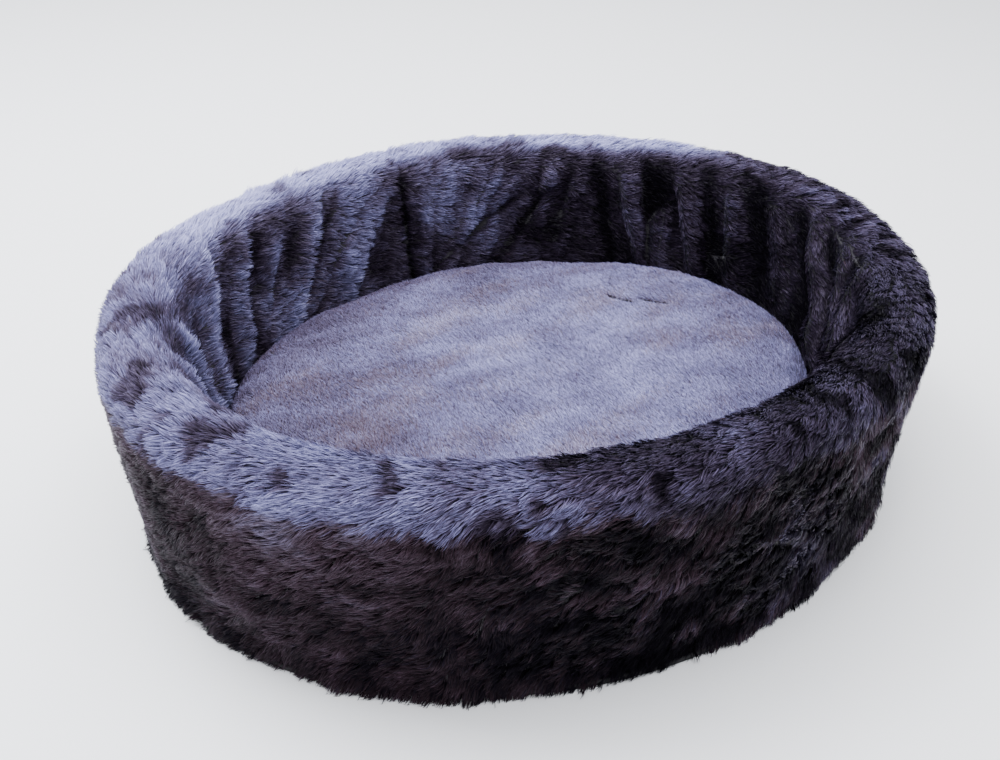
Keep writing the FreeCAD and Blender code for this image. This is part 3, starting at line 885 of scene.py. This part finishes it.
def fill_cushion(obj):
    """Voxel remesh, then the filling, with the moves capped."""
    remesh = obj.modifiers.new("remesh", "REMESH")
    remesh.mode = "VOXEL"
    remesh.voxel_size = 0.005
    apply_modifiers(obj)
    start = points_of(obj.data)
    blow_up(obj)
    step = points_of(obj.data) - start
    size = np.linalg.norm(step, axis=1, keepdims=True)
    step *= np.minimum(1.0, CUSHION_CAP / np.maximum(size, 1e-9))
    points = (start + step).astype(float)
    # it lies flat on the lining and keeps inside the wall all round
    points[:, 2] = np.maximum(points[:, 2], CUSHION_FOOT + CUSHION_FLAT)
    inset, angle = inset_and_angle(points[:, :2])
    over = np.maximum(CUSHION_INSET + 0.0012 - inset, 0)
    points[:, 0] -= np.cos(angle) * over
    points[:, 1] -= np.sin(angle) * over
    move_points(obj.data, clear_of(points, "cushion_inner_bag", 0.0011))


def open_zip_fold(p):
    """The zip's fold across the underside, with upright sides and ends."""
    below = p[:, 2] < CUSHION_FOOT + 0.012
    side, end = np.abs(p[:, 1]) - FOLD_HALF, np.abs(p[:, 0]) - FOLD_END
    off = np.maximum(side, end)
    gather = below & (np.abs(off) < FOLD_STEP)
    p[:, 1] -= gather * (side >= end) * np.sign(p[:, 1]) * off * 0.94
    p[:, 0] -= gather * (side < end) * np.sign(p[:, 0]) * off * 0.94
    p[:, 2] += below * (off < 0) * FOLD_DEEP


def shape_cushion(obj):
    """One subdivision, then the soft dents, the stitched seam, the nap's creases, the zip's fold."""
    subdivide = obj.modifiers.new("subdivide", "SUBSURF")
    subdivide.levels = subdivide.render_levels = 1
    apply_modifiers(obj)
    p = points_of(obj.data).astype(float)
    inset, angle = inset_and_angle(p[:, :2])
    inset -= CUSHION_INSET
    top = smoothstep(CUSHION_SEAM + 0.012, CUSHION_SEAM + 0.030, p[:, 2])
    flat = p * (1, 1, 0.2)
    p[:, 2] += top * (0.0015 * noise(flat, 0.11, 81) + 0.0008 * noise(flat, 0.045, 82))
    # the seam between fur and cloth pulls in, with a pucker every stitch group
    seam = np.exp(-((p[:, 2] - CUSHION_SEAM) / 0.0032) ** 2) * (inset < 0.03)
    wave = 1 + 0.3 * np.sin(angle * 130)
    p[:, 0] -= np.cos(angle) * seam * 0.0026 * wave
    p[:, 1] -= np.sin(angle) * seam * 0.0026 * wave
    for a, b, deep in CREASES:
        p[:, 2] -= top * deep * crease(p, a, b, 0.0022)
    open_zip_fold(p)
    p = clear_of(p, "cushion_inner_bag", 0.0008)
    obj.data.polygons.foreach_set("use_smooth", np.ones(len(obj.data.polygons), bool))
    move_points(obj.data, p)


def crease(p, a, b, width):
    """1 on the line from a to b, falling to 0 a little way off it."""
    a, b = np.array(a), np.array(b)
    along = b - a
    t = np.clip(((p[:, :2] - a) @ along) / (along @ along), 0, 1)
    gap = np.linalg.norm(p[:, :2] - (a + t[:, None] * along), axis=1)
    taper = np.sin(np.clip(t, 0.02, 0.98) * math.pi) ** 0.5
    return np.exp(-(gap / width) ** 2) * taper


def cut_mouth(co, quads):
    """Marks the quads over the zip's teeth, to be left out, and draws the gap's edge straight."""
    roof = CUSHION_FOOT + FOLD_DEEP
    at_roof = (co[:, 2] > roof - 0.001) & (co[:, 2] < roof + 0.002)
    inside_end = np.abs(co[:, 0]) < MOUTH_END - 0.0008
    open_at = at_roof & (np.abs(co[:, 1]) < MOUTH_HALF - 0.0008) & inside_end
    gone = open_at[quads].any(1)
    lip = np.zeros(len(co), bool)
    lip[quads[gone].ravel()] = True
    lip &= ~open_at
    at_side = lip & inside_end
    co[at_side, 1] = np.sign(co[at_side, 1]) * MOUTH_HALF
    at_end = lip & ~at_side
    co[at_end, 0] = np.sign(co[at_end, 0]) * MOUTH_END
    return gone


def split_cushion(obj):
    """The filled form parted at its seam: fur top, and cloth underside with the zip's mouth."""
    co, _, _ = read_mesh(obj)
    quads = np.array([tuple(f.vertices) for f in obj.data.polygons if len(f.vertices) == 4])
    high = co[quads][:, :, 2].mean(1) >= CUSHION_SEAM
    gone = cut_mouth(co, quads)
    quads, high = quads[~gone], high[~gone]
    out = []
    for name, keep in (("cushion_top", high), ("cushion_underside", ~high)):
        faces = quads[keep]
        used, flat = np.unique(faces, return_inverse=True)
        out.append(mesh_object(name, co[used], flat.reshape(-1, 4)))
    bpy.data.objects.remove(obj)
    return out


def cushion_fur(top, tones):
    """Short dense nap, combed front to back with a slight slant, with faint tracks in it."""
    rng = np.random.default_rng(43)
    root, normal = scatter(top, NAP_DENSITY, rng)
    x, y = root[:, 0], root[:, 1]
    inset, _ = inset_and_angle(root[:, :2])
    # the band round the cushion's edge, which is painted darker below as shade
    rim = 1 - smoothstep(0.004, 0.022, inset - CUSHION_INSET)
    flow = in_skin(np.repeat([(-0.26, 0.965, 0.0)], len(root), 0), normal)
    centre, own = locks(root, NAP_LOCK, 91)
    bend = (0.35 * noise(root, 0.06, 92) + 0.30 * noise(root, 0.02, 93) + 0.35 * (own - 0.5)
            + rng.normal(0, 0.16, len(root)))
    flow = turn(flow, normal, bend)
    length = NAP_LENGTH * (1 + 0.12 * noise(root, 0.02, 94) + rng.normal(0, 0.12, len(root)))
    lift = np.radians(25 + 6 * noise(root, 0.03, 95) + 6 * (own - 0.5) + rng.normal(0, 5, len(root)))
    lift = np.clip(lift, math.radians(8), math.radians(42))
    width = NAP_WIDTH * (1 + rng.normal(0, 0.18, len(root)))
    tips = level_with(root, centre, normal) + flow * 0.0050 + normal * 0.0022
    share = np.clip(0.30 + 0.2 * noise(root, 0.03, 96), 0.05, 0.55)
    # The nap sits high on the ladder, partly as painted light on its flat, up-facing pile; painted shade
    # darkens it round its edge by the wall and towards the left end, the back and the right end.
    tone = 7.2 + 0.5 * noise(root, 0.055, 97) + 0.7 * noise(root * (1.0, 2.4, 1), 0.030, 98)
    tone += 0.7 * (own - 0.5) + rng.normal(0, 0.35, len(root)) - 0.8 * rim
    tone -= 1.9 * smoothstep(-0.02, -0.20, x) + 1.7 * smoothstep(0.05, 0.17, y)
    tone -= 0.8 * smoothstep(0.06, 0.20, x)
    over = root + flow * 0.0025                # where a hair's middle comes to lie
    # the creases are painted dark, painted shade in their grooves, and their hairs are shorter
    for a, b, _ in CREASES:
        dark = np.maximum(crease(root, a, b, 0.0018), crease(over, a, b, 0.0018))
        tone -= 9.0 * smoothstep(0.20, 0.60, dark)
        length *= 1 - 0.70 * crease(over, a, b, 0.0026)
    streak = root @ np.array([[0.93, 0.37, 0], [-0.37 * 2.6, 0.93 * 2.6, 0], [0, 0, 1]]).T
    brown = noise(streak, 0.050, 99) + rng.normal(0, 0.35, len(root)) > 0.45
    band = np.floor((x - CUSHION_LOW[0]) / (CUSHION_HIGH[0] - CUSHION_LOW[0]) * NAP_BANDS)
    band = np.clip(band, 0, NAP_BANDS - 1)
    return hair_pieces("cushion_fur_%d", band, NAP_BANDS, rng, tones, SHORT_HAIR, root=root,
                       normal=normal, flow=flow, length=length, width=width, lift=lift,
                       tone=tone, tips=tips, share=share, brown=brown)


# ---- floor cloths -----------------------------------------
def oval_sheet(name, inset, height, ripple, seed):
    """A cloth oval as a polar grid, very slightly uneven."""
    around, rings = 240, 60
    angles = even_angles(around, inset)
    edge, outward = oval(angles)
    rim = edge - outward * inset
    share = np.linspace(0.002, 1, rings)
    xy = rim[:, None, :] * share[None, :, None]
    flat = np.concatenate([xy, np.zeros((around, rings, 1))], 2).reshape(-1, 3)
    lift = (ripple * noise(flat, 0.05, seed) * 0.5 + ripple * 0.5).reshape(around, rings, 1)
    points = np.concatenate([xy, height + lift], 2)
    return grid_object(name, points[:, ::-1])


def binding_ring():
    """The tape round the bottom seam, slightly waved by its stitching."""
    _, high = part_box("bottom_binding")
    around = 700
    inset = SEMI_X - high[0]
    section = np.array([
        (0.0032, 0.0002), (0.0004, 0.0002), (0.0, 0.0009), (0.0, 0.0040), (0.0006, high[2]),
        (0.0014, high[2] - 0.0002)])
    wave = 0.00018 * np.sin(np.arange(around) * 2 * math.pi / 7)
    waved = (section[:, 1] > 0.001) & (section[:, 1] < 0.0048)
    insets = inset + section[:, 0] - wave[:, None] * waved
    points = swept(even_angles(around, inset), insets, section[:, 1])
    return grid_object("bottom_binding_tape", points)


# ---- camera, light, floor ---------------------------------
CAMERA_AZIMUTH, CAMERA_ELEVATION, CAMERA_ROLL = -22.756, 34.735, 1.791    # degrees
CAMERA_DISTANCE = 0.8308               # from the aim point, metres
CAMERA_AIM = Vector((0, 0, 0.093))
LENS = 38.386                          # millimetres, on a 36 mm wide sensor
CAMERA_SHIFT = (-0.0297, -0.0243)
LIGHTS = [                             # name, place, size in metres, power in watts, colour
    ("key", (-0.70, 0.65, 1.50), 1.0, 50.0, (0.90, 0.93, 1.0)),
    ("top", (0.1, 0.0, 1.9), 1.8, 75.0, (0.92, 0.94, 1.0)),
]
LIT_POINT = Vector((0, 0, 0.08))
STUDIO_HALF = 14.0                     # half the studio floor's width


def add_camera():
    """The photograph's view of the bed."""
    az, el, roll = (math.radians(v) for v in (CAMERA_AZIMUTH, CAMERA_ELEVATION, CAMERA_ROLL))
    back = Vector((math.sin(az) * math.cos(el), -math.cos(az) * math.cos(el), math.sin(el)))
    right = Vector((math.cos(az), math.sin(az), 0))
    up = back.cross(right)
    across = right * math.cos(roll) + up * math.sin(roll)
    upright = up * math.cos(roll) - right * math.sin(roll)
    data = bpy.data.cameras.new("camera")
    data.lens, data.sensor_width = LENS, 36
    data.shift_x, data.shift_y = CAMERA_SHIFT
    data.clip_start = 0.01
    camera = placed("camera", data)
    turn_to = Matrix((across, upright, back)).transposed().to_4x4()
    camera.matrix_world = Matrix.Translation(CAMERA_AIM + back * CAMERA_DISTANCE) @ turn_to
    bpy.context.scene.camera = camera


def area_light(name, place, size, power, colour):
    """A square soft light that faces the bed."""
    data = bpy.data.lights.new(name, "AREA")
    data.energy, data.size, data.color = power, size, colour
    light = placed(name, data)
    light.location = place
    light.rotation_euler = (LIT_POINT - Vector(place)).to_track_quat("-Z", "Y").to_euler()


def add_studio():
    """Soft white surroundings, the lights and a plain pale floor."""
    world = bpy.data.worlds.new("studio")
    world.use_nodes = True
    sky = world.node_tree.nodes["Background"]
    sky.inputs["Color"].default_value = (0.93, 0.95, 1.0, 1)
    sky.inputs["Strength"].default_value = 1.0
    bpy.context.scene.world = world
    for light in LIGHTS:
        area_light(*light)
    corners = [(-1, -1, 0), (1, -1, 0), (1, 1, 0), (-1, 1, 0)]
    floor = mesh_object("studio_floor", np.array(corners) * STUDIO_HALF, [(0, 1, 2, 3)])
    paper = Nodes("studio_paper")
    paper.set(Base_Color=(0.96, 0.96, 0.965, 1), Roughness=0.9)
    floor.data.materials.append(paper.material)


# ---- build ------------------------------------------------
def dress(node, material):
    """A better material on a CAD node that stays."""
    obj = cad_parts[node]
    for slot in obj.material_slots:
        slot.material = material


def build_wall():
    skin = wall_skin()
    skin.data.materials.append(under_fur("wall_backing", srgb(10, 8, 13), srgb(34, 28, 38)))
    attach(skin, "bed")
    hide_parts("fur_wall_cover")
    ride_all(wall_fur(skin, fur_tones("wall", 0.42, 0.22)), "bed")


def build_cushion():
    form = pillow_grid("cushion_form")
    fill_cushion(form)
    shape_cushion(form)
    top, under = split_cushion(form)
    top.data.materials.append(under_fur("nap_backing", srgb(50, 46, 62), srgb(96, 92, 116)))
    under.data.materials.append(woven("underside_weave", srgb(40, 36, 48), srgb(74, 68, 84), 700.0))
    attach(top, "cushion")
    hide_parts("cushion_fur_top")
    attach(under, "cushion")
    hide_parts("cushion_underside_front", "cushion_underside_rear")
    ride_all(cushion_fur(top, fur_tones("nap", 0.5, 0.3)), "cushion")


def build_floor():
    _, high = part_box("floor_lining")
    lining = oval_sheet("floor_lining_cloth", SEMI_X - high[0], high[2] - 0.0006, 0.0005, 101)
    lining.data.materials.append(woven("lining_weave", srgb(38, 35, 44), srgb(70, 66, 80), 800.0))
    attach(lining, "bed")
    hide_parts("floor_lining")
    _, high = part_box("bottom_panel")
    panel = oval_sheet("bottom_panel_cloth", SEMI_X - high[0], 0.0003, 0.0004, 102)
    panel.data.materials.append(woven("bottom_weave", srgb(16, 14, 20), srgb(40, 37, 47), 500.0))
    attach(panel, "bed")
    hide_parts("bottom_panel")
    tape = binding_ring()
    tape.data.materials.append(woven("binding_weave", srgb(7, 6, 9), srgb(18, 16, 22), 1200.0))
    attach(tape, "bed")
    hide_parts("bottom_binding")


def dress_cad():
    dress("wall_foam", speckled("foam", srgb(205, 196, 160), srgb(232, 225, 196), 900.0, 0.9))
    wadding = speckled("wadding", srgb(214, 214, 210), srgb(242, 242, 240), 220.0, 0.95)
    for node in ("floor_wadding", "cushion_fibre_fill"):
        dress(node, wadding)
    dress("cushion_inner_bag", woven("bag_nonwoven", srgb(208, 208, 204), srgb(238, 238, 236), 300.0))
    tape = woven("tape_twill", srgb(22, 20, 27), srgb(52, 48, 60), 1500.0)
    teeth = speckled("zip_resin", srgb(24, 22, 28), srgb(44, 41, 52), 1500.0, 0.32)
    for half in ("front", "rear"):
        dress("zip_tape_" + half, tape)
        dress("zip_teeth_" + half, teeth)
    metal = speckled("zip_enamel", srgb(24, 23, 28), srgb(48, 46, 56), 800.0, 0.28, 0.6)
    for node in ("zip_top_stops", "zip_bottom_stop", "zip_slider", "zip_pull"):
        dress(node, metal)
    dress("care_label", woven("label_satin", srgb(216, 216, 214), srgb(246, 246, 246), 900.0, 0.45))


add_camera()
add_studio()
build_wall()
build_cushion()
build_floor()
dress_cad()
